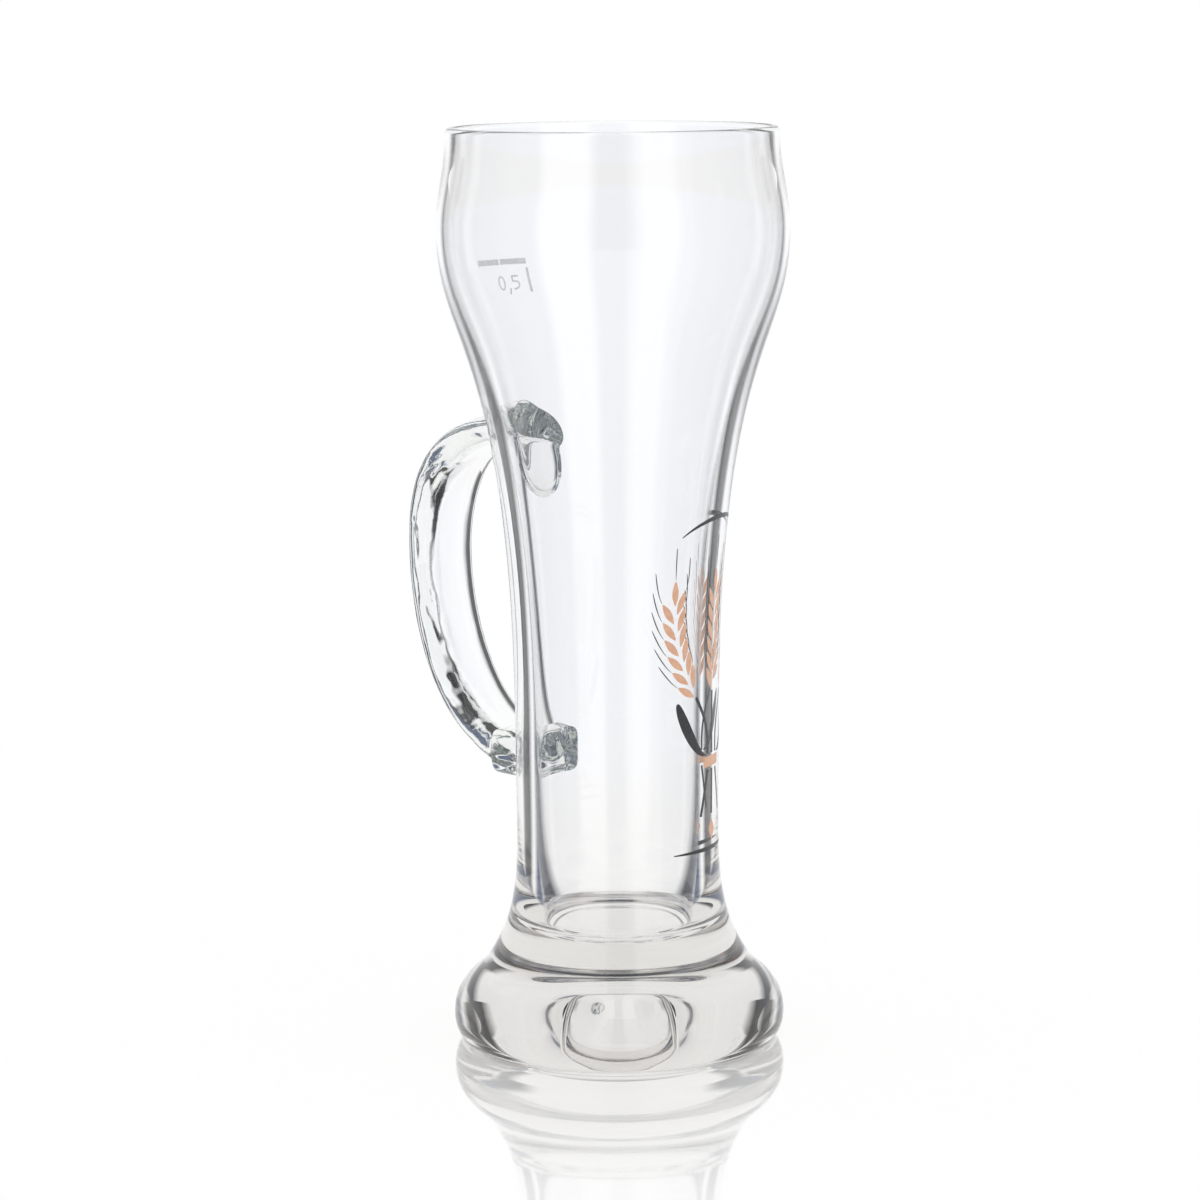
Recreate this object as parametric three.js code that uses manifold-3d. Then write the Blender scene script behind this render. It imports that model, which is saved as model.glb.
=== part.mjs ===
// A half-litre beer mug of clear glass: a blown vessel on a heavy solid foot, a drawn strap handle
// fused to its side, a fired fill mark and a fired ornament in black and copper.
// Millimetres, +Z up. The table is z = 0, the handle points along -X, and the origin is the middle
// of the box that the mug fills, on the table.
import * as THREE from 'three';
import { mergeVertices } from 'three/addons/utils/BufferGeometryUtils.js';
import Module from 'manifold-3d';

// Outside of the vessel: five rings from the table to the lip
const standRadius = 42.6;
const footRadius = 47.1;
const footHeight = 7.4;
const flankRadius = 38.2;
const flankHeight = 22;
const flankSlope = THREE.MathUtils.degToRad(54.3);
const waistRadius = 28.8;
const waistHeight = 86;
const bulgeRadius = 49.3;
const bulgeHeight = 230.5;
const rimRadius = 46.4;
const rimHeight = 258.8;

// How long the outline keeps straight at those rings before it turns
const footRise = 9.4;
const flankRunDown = 3.5;
const flankRunUp = 19.9;
const waistRunDown = 33;
const waistRunUp = 113.5;
const bulgeRunDown = 33.6;
const lipRun = 10;
const lipLean = 0.1;

// Wall and cavity
const waistWall = 5.2;
const shoulderHeight = 183;
const shoulderWall = 3.7;
const bulgeWall = 2.1;
const rimWall = 2.8;
const wellRadius = 22.4;
const wellRunDown = 16;
const wellRunUp = 14;
const floorHeight = 30;
const floorCornerRise = 6;
const floorCornerRun = 5;

// Hollow under the foot: a low bell that runs out to the ring the mug stands on
const standRingWidth = 3.2;
const hollowDepth = 8.6;
const hollowEdgeRise = 0.3;
const hollowRoofShare = 0.41;
const hollowEdgeShare = 0.51;

// Strap handle, measured from the vessel's axis and along the strap's middle line
const strapReach = 77.1;
const strapWidth = 20.5;
const strapThickness = 7.9;
const bowHeight = 134;
const upperBend = 21;
const lowerBend = 31;
const upperRootHeight = 174;
const upperRootRun = 28;
const upperRootDrop = 2;
const upperRootDepth = 11.5;
const upperRootWidth = 22;
const lowerRootHeight = 79.5;
const lowerRootRun = 25;
const lowerRootDip = 6;
const lowerRootDepth = 14;
const lowerRootWidth = 21;
const rootFlare = 44;
const rootSink = 3;
const tongueHeight = 165.5;
const tongueLength = 27;
const tongueWidth = 20.5;
const tongueThickness = 6.5;
const tongueTaper = 0.45;
const rootShift = 3;
const fuseGap = 0.3;

// 1 would make the strap's section an ellipse, 0 a rectangle
const sectionRoundness = 0.7;

// Fired print: a film a little off the glass
const filmGap = 0.2;
const filmThickness = 0.2;
const fillHeight = 219.3;
const fillLineLength = 20.3;
const fillLineWidth = 1.8;
const fillLineSplit = 0.6;
const digitHeight = 4.6;
const digitWidth = 2.9;
const digitStroke = 0.55;
const digitDrop = 5.2;
const zeroPlace = -0.6;
const commaPlace = 2.6;
const commaLength = 1.8;
const fivePlace = 5.1;
const fiveBowlHeight = 2.7;
const fiveBowlReach = 1.9;
const litrePlace = 10.1;
const litreHeight = 7.6;
const litreDrop = 3;
const litreStroke = 0.9;

// Ornament: three barley ears in a sheaf, centred on this bearing round the vessel
const sheafBearing = THREE.MathUtils.degToRad(22);
const tieHeight = 82;
const tieLength = 9.5;
const tieWidth = 3;
const tieClearance = 0.7;
const stalkStroke = 1.1;
const stalkPitch = 2.7;
const strawLength = 13;
const strawSpread = 3.6;
const stalkRise = 17;
const stalkSpread = 6;
const earClearance = 0.8;
const earLength = 34;
const earWidth = 8.4;
const earLean = 8.5;
const earRows = 7;
const earNotch = 0.38;
const leafLength = 16;
const leafSpread = 12;
const leafWidth = 3.4;
const leafClearance = 1.2;
const archHeight = 153;
const archRise = 6;
const ruleLength = 34;
const ruleWidth = 1.3;
const lozengeHeight = 62.3;
const lozengeLength = 6;
const lozengeWidth = 4.2;
const lozengeClearance = 1.5;
const pointWidth = 0.3;

// Fineness of the facets
const turnSteps = 64;
const hollowSteps = 8;
const wellSteps = 4;
const footSteps = 5;
const flankSteps = 6;
const trunkSteps = 10;
const lipSteps = 4;
const roundSteps = 4;
const strapSteps = 14;
const strapSides = 20;
const filmStep = 2.2;
const digitStep = 0.6;
const earStep = 1.6;
const filmCell = 2.6;

const glass = new THREE.MeshStandardMaterial({ color: 0xe9efec, roughness: 0.04, metalness: 0 });
const handleGlass = new THREE.MeshStandardMaterial({ color: 0xe3ebe6, roughness: 0.05, metalness: 0 });
const greyEnamel = new THREE.MeshStandardMaterial({ color: 0xcfd3d4, roughness: 0.45, metalness: 0 });
const blackEnamel = new THREE.MeshStandardMaterial({ color: 0x17171a, roughness: 0.35, metalness: 0 });
const copperLustre = new THREE.MeshStandardMaterial({ color: 0xd7aa8c, roughness: 0.3, metalness: 1 });

const { clamp, lerp, smoothstep } = THREE.MathUtils;
const wasm = await Module();
wasm.setup();

const mug = new THREE.Group();

function bezier(...corners) {
  return new THREE.CubicBezierCurve(...corners.map(([x, y]) => new THREE.Vector2(x, y)));
}

function addMesh(name, geometry, material) {
  const mesh = new THREE.Mesh(geometry, material);
  mesh.name = name;
  mug.add(mesh);
}

function solidOf(geometry) {
  const bare = geometry.clone();
  bare.deleteAttribute('normal');
  bare.deleteAttribute('uv');
  const merged = mergeVertices(bare, 1e-4);
  const triangles = [];
  const index = merged.index.array;
  for (let i = 0; i < index.length; i += 3) {
    const [a, b, c] = [index[i], index[i + 1], index[i + 2]];
    if (a !== b && b !== c && c !== a) triangles.push(a, b, c);
  }
  const vertProperties = new Float32Array(merged.attributes.position.array);
  const triVerts = new Uint32Array(triangles);
  return new wasm.Manifold(new wasm.Mesh({ numProp: 3, vertProperties, triVerts }));
}

function geometryOf(solid) {
  const mesh = solid.getMesh();
  const geometry = new THREE.BufferGeometry();
  geometry.setAttribute('position', new THREE.BufferAttribute(mesh.vertProperties, 3));
  geometry.setIndex(new THREE.BufferAttribute(mesh.triVerts, 1));
  geometry.computeVertexNormals();
  return geometry;
}

// Closed skin over a row of sections with the same even number of points, each counted round its
// path anticlockwise. A closed row joins its last section to its first and needs no end faces.
function loft(sections, closed = false) {
  const count = sections[0].length;
  const rows = sections.length;
  const triangles = [];
  for (let row = 0; row < (closed ? rows : rows - 1); row++) {
    const next = (row + 1) % rows;
    for (let i = 0; i < count; i++) {
      const j = (i + 1) % count;
      const [a, b, c, d] = [row * count + i, row * count + j, next * count + j, next * count + i];
      triangles.push(a, b, c, a, c, d);
    }
  }
  if (!closed) {
    const last = (rows - 1) * count;
    for (let i = 0; i < count / 2 - 1; i++) {
      const [a, b, c, d] = [i, i + 1, count - 2 - i, count - 1 - i];
      triangles.push(a, c, b, a, d, c);
      triangles.push(last + a, last + b, last + c, last + a, last + c, last + d);
    }
  }
  const geometry = new THREE.BufferGeometry().setFromPoints(sections.flat());
  geometry.setIndex(triangles);
  geometry.computeVertexNormals();
  return geometry;
}

// Vessel outline: x is the radius, y the height
const footTurn = [];
for (let i = 0; i < roundSteps; i++) {
  const turn = (i / roundSteps) * (Math.PI / 2);
  const reach = standRadius + (footRadius - standRadius) * Math.sin(turn);
  footTurn.push(new THREE.Vector2(reach, footHeight * (1 - Math.cos(turn))));
}
const flankLean = [-Math.cos(flankSlope), Math.sin(flankSlope)];
const footCurve = bezier(
  [footRadius, footHeight], [footRadius, footHeight + footRise],
  [flankRadius - flankRunDown * flankLean[0], flankHeight - flankRunDown * flankLean[1]],
  [flankRadius, flankHeight],
);
const flankCurve = bezier(
  [flankRadius, flankHeight],
  [flankRadius + flankRunUp * flankLean[0], flankHeight + flankRunUp * flankLean[1]],
  [waistRadius, waistHeight - waistRunDown], [waistRadius, waistHeight],
);
const trunkCurve = bezier(
  [waistRadius, waistHeight], [waistRadius, waistHeight + waistRunUp],
  [bulgeRadius, bulgeHeight - bulgeRunDown], [bulgeRadius, bulgeHeight],
);
const lipCurve = bezier(
  [bulgeRadius, bulgeHeight], [bulgeRadius, bulgeHeight + lipRun],
  [rimRadius + lipLean, rimHeight - lipRun], [rimRadius, rimHeight - rimWall / 2],
);
const outside = [
  ...footTurn,
  ...footCurve.getPoints(footSteps).slice(0, -1),
  ...flankCurve.getPoints(flankSteps).slice(0, -1),
  ...trunkCurve.getPoints(trunkSteps).slice(0, -1),
  ...lipCurve.getPoints(lipSteps),
];

function along(points, height) {
  const next = Math.max(1, points.findIndex((point) => point.y >= height));
  const [low, high] = [points[next - 1], points[next]];
  return lerp(low.x, high.x, (height - low.y) / (high.y - low.y));
}

function outsideRadius(height) {
  return along(outside, height);
}

const wallAt = [
  new THREE.Vector2(waistWall, waistHeight),
  new THREE.Vector2(shoulderWall, shoulderHeight),
  new THREE.Vector2(bulgeWall, bulgeHeight),
  new THREE.Vector2(rimWall, rimHeight),
];

const rimRound = [];
for (let i = 1; i < roundSteps; i++) {
  const turn = (i / roundSteps) * Math.PI;
  const reach = rimRadius - rimWall / 2 + (rimWall / 2) * Math.cos(turn);
  rimRound.push(new THREE.Vector2(reach, rimHeight - rimWall / 2 + (rimWall / 2) * Math.sin(turn)));
}
const inside = outside
  .filter((point) => point.y >= waistHeight)
  .map((point) => new THREE.Vector2(point.x - along(wallAt, point.y), point.y))
  .reverse();
inside[0].x = rimRadius - rimWall;
const cavityRadius = waistRadius - waistWall;
const wellTop = floorHeight + floorCornerRise;
const well = bezier(
  [cavityRadius, waistHeight], [cavityRadius, waistHeight - wellRunDown],
  [(wellRadius + cavityRadius) / 2, wellTop + wellRunUp], [wellRadius, wellTop],
).getPoints(wellSteps).slice(1);
const floorCorner = [];
for (let i = 1; i <= roundSteps; i++) {
  const turn = (i / roundSteps) * (Math.PI / 2);
  const reach = wellRadius - floorCornerRun * (1 - Math.cos(turn));
  floorCorner.push(new THREE.Vector2(reach, floorHeight + floorCornerRise * (1 - Math.sin(turn))));
}
const hollowRadius = standRadius - standRingWidth;
const hollow = bezier(
  [0, hollowDepth], [hollowRadius * hollowRoofShare, hollowDepth],
  [hollowRadius * (1 - hollowEdgeShare), hollowEdgeRise], [hollowRadius, 0],
).getPoints(hollowSteps);

const vesselOutline = [
  ...hollow, ...outside, ...rimRound, ...inside, ...well, ...floorCorner, new THREE.Vector2(0, floorHeight),
];
const vessel = new THREE.LatheGeometry(vesselOutline, turnSteps).rotateX(Math.PI / 2);
addMesh('glass_body', geometryOf(solidOf(vessel)), glass);

// Handle: the strap's middle line leaves the wall, bows out to its reach and comes back
const bowRadius = strapReach - strapThickness / 2;
const upperRootRadius = outsideRadius(upperRootHeight);
const lowerRootRadius = outsideRadius(lowerRootHeight);
const upperStrap = bezier(
  [upperRootRadius - rootSink, upperRootHeight],
  [upperRootRadius + upperRootRun, upperRootHeight - upperRootDrop],
  [bowRadius, bowHeight + upperBend], [bowRadius, bowHeight],
);
const lowerStrap = bezier(
  [bowRadius, bowHeight], [bowRadius, bowHeight - lowerBend],
  [lowerRootRadius + lowerRootRun, lowerRootHeight - lowerRootDip],
  [lowerRootRadius - rootSink, lowerRootHeight],
);
const strapPath = new THREE.CurvePath();
strapPath.add(upperStrap);
strapPath.add(lowerStrap);
const strapLength = strapPath.getLength();

// A rounded flat section: full at the edges, as drawn glass sets
function strapSection(share) {
  const middle = strapPath.getPointAt(share);
  const ahead = strapPath.getTangentAt(share);
  const fromTop = smoothstep(share * strapLength, 0, rootFlare);
  const fromFoot = smoothstep((1 - share) * strapLength, 0, rootFlare);
  const width = strapWidth + (upperRootWidth - strapWidth) * (1 - fromTop)
    + (lowerRootWidth - strapWidth) * (1 - fromFoot);
  const depth = strapThickness + (upperRootDepth - strapThickness) * (1 - fromTop)
    + (lowerRootDepth - strapThickness) * (1 - fromFoot);
  const shift = rootShift * (2 - fromTop - fromFoot);
  const section = [];
  for (let i = 0; i < strapSides; i++) {
    const turn = ((i + 0.5) / strapSides) * Math.PI * 2;
    const across = (width / 2) * Math.sign(Math.cos(turn)) * Math.abs(Math.cos(turn)) ** sectionRoundness;
    const rise = (depth / 2) * Math.sign(Math.sin(turn)) * Math.abs(Math.sin(turn)) ** sectionRoundness;
    section.push(new THREE.Vector3(-middle.x - ahead.y * rise, across - shift, middle.y - ahead.x * rise));
  }
  return section;
}

const strapSections = [];
for (let i = 0; i <= 2 * strapSteps; i++) strapSections.push(strapSection(i / (2 * strapSteps)));
const strap = loft(strapSections);

// Tongue: the upper root runs down the wall and narrows to a blunt tip
const tongue = new THREE.SphereGeometry(1, strapSides, strapSteps).rotateX(Math.PI / 2);
const tongueSpots = tongue.attributes.position;
for (let i = 0; i < tongueSpots.count; i++) {
  tongueSpots.setY(i, tongueSpots.getY(i) * (1 + tongueTaper * tongueSpots.getZ(i)));
}
tongue.scale(tongueThickness, tongueWidth / 2, tongueLength / 2);
const wallLean = Math.atan2(
  outsideRadius(tongueHeight + tongueLength / 2) - outsideRadius(tongueHeight - tongueLength / 2),
  tongueLength,
);
tongue.rotateY(-wallLean).translate(-outsideRadius(tongueHeight), -rootShift, tongueHeight);

const clearOutline = [
  new THREE.Vector2(0, 0),
  ...outside.map((point) => new THREE.Vector2(point.x + fuseGap, point.y)),
  new THREE.Vector2(0, rimHeight),
];
const clearOfVessel = solidOf(new THREE.LatheGeometry(clearOutline, turnSteps).rotateX(Math.PI / 2));
const handle = solidOf(strap).add(solidOf(tongue)).subtract(clearOfVessel);
addMesh('handle', geometryOf(handle), handleGlass);

// One island of print: a ribbon along a path drawn on the unrolled wall, x to the right and y the
// height, with its own half width on either hand. sense is 1 for a print that is read from outside
// and -1 for one that is read through the glass.
function film(name, path, left, right, material, { bearing, sense, step = filmStep, closed = false }) {
  const steps = 2 * Math.max(1, Math.ceil(path.getLength() / step / 2));
  const cells = Math.max(1, Math.ceil((left(0.5) + right(0.5)) / filmCell));
  const sections = [];
  for (let i = 0; i < (closed ? steps : steps + 1); i++) {
    const share = i / steps;
    const spot = path.getPointAt(share);
    const ahead = path.getTangentAt(share);
    const inner = [];
    const outer = [];
    for (let k = 0; k <= cells; k++) {
      const side = lerp(-right(share), left(share), k / cells);
      const [x, height] = [spot.x - ahead.y * side, spot.y + ahead.x * side];
      const radius = outsideRadius(height) + filmGap;
      const turn = bearing + (sense * x) / radius;
      for (const [row, reach] of [[inner, radius], [outer, radius + filmThickness]]) {
        row.push(new THREE.Vector3(reach * Math.cos(turn), reach * Math.sin(turn), height));
      }
    }
    const section = [...inner, ...outer.reverse()];
    sections.push(sense > 0 ? section : section.reverse());
  }
  addMesh(name, loft(sections, closed), material);
}

function line(...spots) {
  const path = new THREE.CurvePath();
  for (let i = 1; i < spots.length; i++) {
    const [from, to] = [spots[i - 1], spots[i]];
    path.add(new THREE.LineCurve(new THREE.Vector2(...from), new THREE.Vector2(...to)));
  }
  return path;
}

const even = (width) => () => width / 2;

// Fill mark over the handle, read through the glass: a split line, 0,5 and l
const onHandleSide = { bearing: Math.PI, sense: -1, step: digitStep };
const fillMiddle = fillHeight - fillLineWidth / 2;
for (const [side, name] of [[-1, 'fill_line_left'], [1, 'fill_line_right']]) {
  const ends = [[(side * fillLineSplit) / 2, fillMiddle], [(side * fillLineLength) / 2, fillMiddle]];
  film(name, line(...ends), even(fillLineWidth), even(fillLineWidth), greyEnamel, onHandleSide);
}
const digitFoot = fillHeight - digitDrop - digitHeight;
const digitMiddle = digitFoot + digitHeight / 2;
const zero = new THREE.EllipseCurve(
  zeroPlace, digitMiddle, (digitWidth - digitStroke) / 2, (digitHeight - digitStroke) / 2,
);
const ringOnHandleSide = { ...onHandleSide, closed: true };
film('fill_digit_0', zero, even(digitStroke), even(digitStroke), greyEnamel, ringOnHandleSide);
const comma = line(
  [commaPlace, digitFoot + digitStroke], [commaPlace - digitStroke, digitFoot + digitStroke - commaLength],
);
film('fill_comma', comma, even(digitStroke), even(digitStroke), greyEnamel, onHandleSide);
const fiveReach = (digitWidth - digitStroke) / 2;
const fiveTop = digitFoot + digitHeight - digitStroke / 2;
const fiveWaist = digitFoot + fiveBowlHeight;
const fiveFoot = digitFoot + digitStroke / 2;
const five = new THREE.CurvePath();
five.add(line([fivePlace + fiveReach, fiveTop], [fivePlace - fiveReach, fiveTop]).curves[0]);
five.add(line([fivePlace - fiveReach, fiveTop], [fivePlace - fiveReach, fiveWaist]).curves[0]);
five.add(bezier(
  [fivePlace - fiveReach, fiveWaist], [fivePlace + fiveBowlReach, fiveWaist + digitStroke],
  [fivePlace + fiveBowlReach, fiveFoot], [fivePlace - fiveReach, fiveFoot],
));
film('fill_digit_5', five, even(digitStroke), even(digitStroke), greyEnamel, onHandleSide);
const litreFoot = fillHeight - litreDrop - litreHeight;
const litre = line([litrePlace, litreFoot], [litrePlace, litreFoot + litreHeight]);
film('fill_letter_l', litre, even(litreStroke), even(litreStroke), greyEnamel, onHandleSide);

// Ornament on the right of the handle, read from outside
const onSheafSide = { bearing: sheafBearing, sense: 1 };
const earsOnSheafSide = { ...onSheafSide, step: earStep };
const sharp = (width) => (share) => pointWidth / 2 + ((width - pointWidth) / 2) * Math.sin(Math.PI * share);
const grains = (width, shift) => (share) => {
  const row = share * earRows + shift;
  const bulge = 1 - earNotch * (1 - Math.sin(Math.PI * (row - Math.floor(row))));
  return pointWidth / 2 + (width / 2) * bulge * Math.sqrt(Math.sin(Math.PI * clamp(share, 0, 1)));
};

const tieHalf = tieLength / 2;
const tie = line([-tieHalf, tieHeight], [tieHalf, tieHeight]);
film('sheaf_tie', tie, even(tieWidth), even(tieWidth), copperLustre, onSheafSide);
const stalkFoot = tieHeight + tieWidth / 2 + tieClearance;
const strawTop = tieHeight - tieWidth / 2 - tieClearance;
const lozengeTop = lozengeHeight + lozengeLength / 2;
const lozengeFoot = lozengeHeight - lozengeLength / 2;
for (const [side, where] of [[-1, 'left'], [0, 'middle'], [1, 'right']]) {
  const at = side * stalkPitch;
  const strawFoot = side === 0 ? lozengeTop + lozengeClearance : strawTop - strawLength;
  const straw = line([at, strawTop], [at + side * strawSpread, strawFoot]);
  film(`straw_${where}`, straw, even(stalkStroke), even(stalkStroke), blackEnamel, onSheafSide);
  const rise = side === 0 ? stalkRise + earClearance : stalkRise;
  const top = [at + side * stalkSpread, stalkFoot + rise];
  const stalk = bezier([at, stalkFoot], [at, stalkFoot + rise / 3], [at, stalkFoot + rise / 2], top);
  film(`stalk_${where}`, stalk, even(stalkStroke), even(stalkStroke), blackEnamel, onSheafSide);
  const heading = stalk.getTangent(1).multiplyScalar(earLength / 2);
  const earFoot = stalk.getPoint(1).add(stalk.getTangent(1).multiplyScalar(earClearance));
  const ear = new THREE.QuadraticBezierCurve(
    earFoot, earFoot.clone().add(heading),
    earFoot.clone().add(new THREE.Vector2(side * earLean, earLength)),
  );
  film(`ear_${where}`, ear, grains(earWidth, 0), grains(earWidth, 0.5), copperLustre, earsOnSheafSide);
  if (side === 0) continue;
  const leafFoot = [at + side * leafClearance, stalkFoot];
  const leafTip = [at + side * (leafClearance + leafSpread), stalkFoot + leafLength];
  const leaf = bezier(leafFoot, [leafFoot[0] + side * leafSpread / 2, stalkFoot], leafTip, leafTip);
  film(`leaf_${where}`, leaf, sharp(leafWidth), sharp(leafWidth), blackEnamel, onSheafSide);
}
const ruleHalf = ruleLength / 2;
const arch = bezier(
  [-ruleHalf, archHeight - archRise], [-ruleHalf / 2, archHeight], [ruleHalf / 2, archHeight],
  [ruleHalf, archHeight - archRise],
);
film('arch_rule', arch, sharp(ruleWidth), sharp(ruleWidth), blackEnamel, onSheafSide);
const ruleHeight = lozengeFoot - lozengeClearance - ruleWidth / 2;
const rule = line([-ruleHalf, ruleHeight], [ruleHalf, ruleHeight]);
film('foot_rule', rule, sharp(ruleWidth), sharp(ruleWidth), blackEnamel, onSheafSide);
const lozenge = line([0, lozengeFoot], [0, lozengeHeight], [0, lozengeTop]);
const kite = (share) => pointWidth / 2 + ((lozengeWidth - pointWidth) / 2) * (1 - Math.abs(1 - 2 * share));
film('lozenge', lozenge, kite, kite, copperLustre, onSheafSide);

// The box is as wide as the bulge on one side and the handle's reach on the other
mug.position.x = (strapReach - bulgeRadius) / 2;

export default mug;
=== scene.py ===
# A half-litre beer mug of clear glass on a pale studio floor
import math

import bpy
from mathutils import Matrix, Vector


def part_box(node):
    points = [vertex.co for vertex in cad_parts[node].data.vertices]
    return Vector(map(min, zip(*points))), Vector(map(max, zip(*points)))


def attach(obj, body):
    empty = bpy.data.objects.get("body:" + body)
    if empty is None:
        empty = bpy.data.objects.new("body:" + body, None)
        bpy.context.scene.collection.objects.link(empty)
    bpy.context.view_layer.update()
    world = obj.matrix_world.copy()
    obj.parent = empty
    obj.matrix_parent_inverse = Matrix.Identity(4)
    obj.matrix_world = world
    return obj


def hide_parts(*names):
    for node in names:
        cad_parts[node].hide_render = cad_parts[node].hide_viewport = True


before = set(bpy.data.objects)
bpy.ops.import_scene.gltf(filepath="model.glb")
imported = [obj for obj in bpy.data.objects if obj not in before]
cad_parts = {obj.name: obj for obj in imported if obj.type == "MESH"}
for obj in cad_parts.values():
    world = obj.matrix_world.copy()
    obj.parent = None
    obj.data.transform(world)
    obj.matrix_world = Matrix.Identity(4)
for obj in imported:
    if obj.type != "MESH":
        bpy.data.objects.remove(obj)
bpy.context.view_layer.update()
scene = bpy.context.scene

# Vessel
# The mug's body is one gather of clear soda-lime glass, blown in a turned mould and left solid in the
# foot. The lip is fire-polished round, and a low bell-shaped hollow lets the mug stand on a ring.
mm = 0.001
vessel_low, vessel_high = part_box("glass_body")
axis_x = (vessel_low.x + vessel_high.x) / 2
bulge_radius = (vessel_high.y - vessel_low.y) / 2
rim_height = vessel_high.z
stand_radius = 42.6 * mm
foot_radius = 47.1 * mm
foot_height = 7.4 * mm
foot_rise = 9.4 * mm
flank_radius = 38.2 * mm
flank_height = 22 * mm
flank_slope = math.radians(54.3)
flank_run_down = 3.5 * mm
flank_run_up = 19.9 * mm
waist_radius = 28.8 * mm
waist_height = 86 * mm
waist_run_down = 33 * mm
waist_run_up = 113.5 * mm
bulge_height = 230.5 * mm
bulge_run_down = 33.6 * mm
rim_radius = 46.4 * mm
rim_wall = 2.8 * mm
lip_run = 10 * mm
lip_lean = 0.1 * mm
bulge_wall = 2.1 * mm
waist_wall = 5.2 * mm
well_radius = 22.4 * mm
well_run_down = 16 * mm
well_run_up = 14 * mm
floor_height = 30 * mm
corner_rise = 6 * mm
corner_run = 5 * mm
stand_ring = 3.2 * mm
hollow_depth = 8.6 * mm
hollow_roof_run = 16 * mm
hollow_edge_run = 20 * mm
hollow_edge_rise = 0.3 * mm
glass_index = 1.51
tint_density = 10
crease_angle = math.radians(35)
merge_distance = 0.002 * mm

# Share of a quarter ellipse's half axis at which a Bezier handle ends
round_handle = 0.5523


def pick(active, *others):
    """Selects some things alone, and makes the first of them the active one."""
    bpy.ops.object.select_all(action="DESELECT")
    for thing in (active, *others):
        thing.select_set(True)
    bpy.context.view_layer.objects.active = active


def reshape(thing, kind, **settings):
    """Gives a thing, which is the active one, a modifier with some settings, and applies it."""
    bpy.ops.object.modifier_add(type=kind)
    modifier = thing.modifiers[-1]
    for setting, value in settings.items():
        setattr(modifier, setting, value)
    bpy.ops.object.modifier_apply(modifier=modifier.name)


def mend_mesh(merge):
    """Turns the active mesh's faces outward, after merging its doubled points where that is asked."""
    bpy.ops.object.mode_set(mode="EDIT")
    bpy.ops.mesh.select_all(action="SELECT")
    if merge:
        bpy.ops.mesh.remove_doubles(threshold=merge_distance)
    bpy.ops.mesh.normals_make_consistent(inside=False)
    bpy.ops.object.mode_set(mode="OBJECT")


def draw_line(name, knots, fineness):
    """A Bezier line in the XZ plane. A knot is its spot, and the ends of its two handles."""
    bpy.ops.object.select_all(action="DESELECT")
    bpy.ops.curve.primitive_bezier_curve_add()
    line = bpy.context.object
    line.name = name
    line.data.resolution_u = fineness
    points = line.data.splines[0].bezier_points
    points.add(len(knots) - len(points))
    for point, (spot, before, after) in zip(points, knots):
        point.handle_left_type = "FREE"
        point.handle_right_type = "FREE"
        point.co = (spot[0], 0, spot[1])
        point.handle_left = (before[0], 0, before[1])
        point.handle_right = (after[0], 0, after[1])
    return line


def turn_on_lathe(line, steps, axis=axis_x, turn=2 * math.pi):
    """What a line makes when it is spun round an upright axis, the vessel's if none is named."""
    clockwise = -turn
    pick(line)
    bpy.ops.object.convert(target="MESH")
    bpy.ops.object.mode_set(mode="EDIT")
    bpy.ops.mesh.select_all(action="SELECT")
    bpy.ops.mesh.spin(steps=steps, angle=clockwise, center=(axis, 0, 0), axis=(0, 0, 1))
    bpy.ops.object.mode_set(mode="OBJECT")
    mend_mesh(merge=True)
    return bpy.context.object


def knot(radius, height, before=(0, 0), after=(0, 0)):
    """A knot at a radius and height, with its handles as steps from it."""
    spot = (axis_x + radius, height)
    return (
        spot,
        (spot[0] + before[0], spot[1] + before[1]),
        (spot[0] + after[0], spot[1] + after[1]),
    )


foot_turn = foot_radius - stand_radius
rim_round = rim_wall / 2 * round_handle
lip_base = rim_height - rim_wall / 2
cavity_radius = waist_radius - waist_wall
well_lean = (cavity_radius - well_radius) / 2
flank_lean = (-math.cos(flank_slope), math.sin(flank_slope))
flank_down = [-flank_run_down * part for part in flank_lean]
flank_up = [flank_run_up * part for part in flank_lean]
vessel_knots = [
    knot(0, hollow_depth, after=(hollow_roof_run, 0)),
    knot(stand_radius - stand_ring, 0, before=(-hollow_edge_run, hollow_edge_rise)),
    knot(stand_radius, 0, after=(foot_turn * round_handle, 0)),
    knot(foot_radius, foot_height, before=(0, -foot_height * round_handle), after=(0, foot_rise)),
    knot(flank_radius, flank_height, before=flank_down, after=flank_up),
    knot(waist_radius, waist_height, before=(0, -waist_run_down), after=(0, waist_run_up)),
    knot(bulge_radius, bulge_height, before=(0, -bulge_run_down), after=(0, lip_run)),
    knot(rim_radius, lip_base, before=(lip_lean, -lip_run), after=(0, rim_round)),
    knot(rim_radius - rim_wall / 2, rim_height, before=(rim_round, 0), after=(-rim_round, 0)),
    knot(rim_radius - rim_wall, lip_base, before=(0, rim_round), after=(lip_lean, -lip_run)),
    knot(bulge_radius - bulge_wall, bulge_height, before=(0, lip_run), after=(0, -bulge_run_down)),
    knot(cavity_radius, waist_height, before=(0, waist_run_up), after=(0, -well_run_down)),
    knot(
        well_radius, floor_height + corner_rise,
        before=(well_lean, well_run_up), after=(0, -corner_rise * round_handle),
    ),
    knot(well_radius - corner_run, floor_height, before=(corner_run * round_handle, 0)),
    knot(0, floor_height),
]
vessel = turn_on_lathe(draw_line("vessel", vessel_knots, fineness=32), steps=200)
bpy.ops.object.shade_smooth_by_angle(angle=crease_angle)

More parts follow.
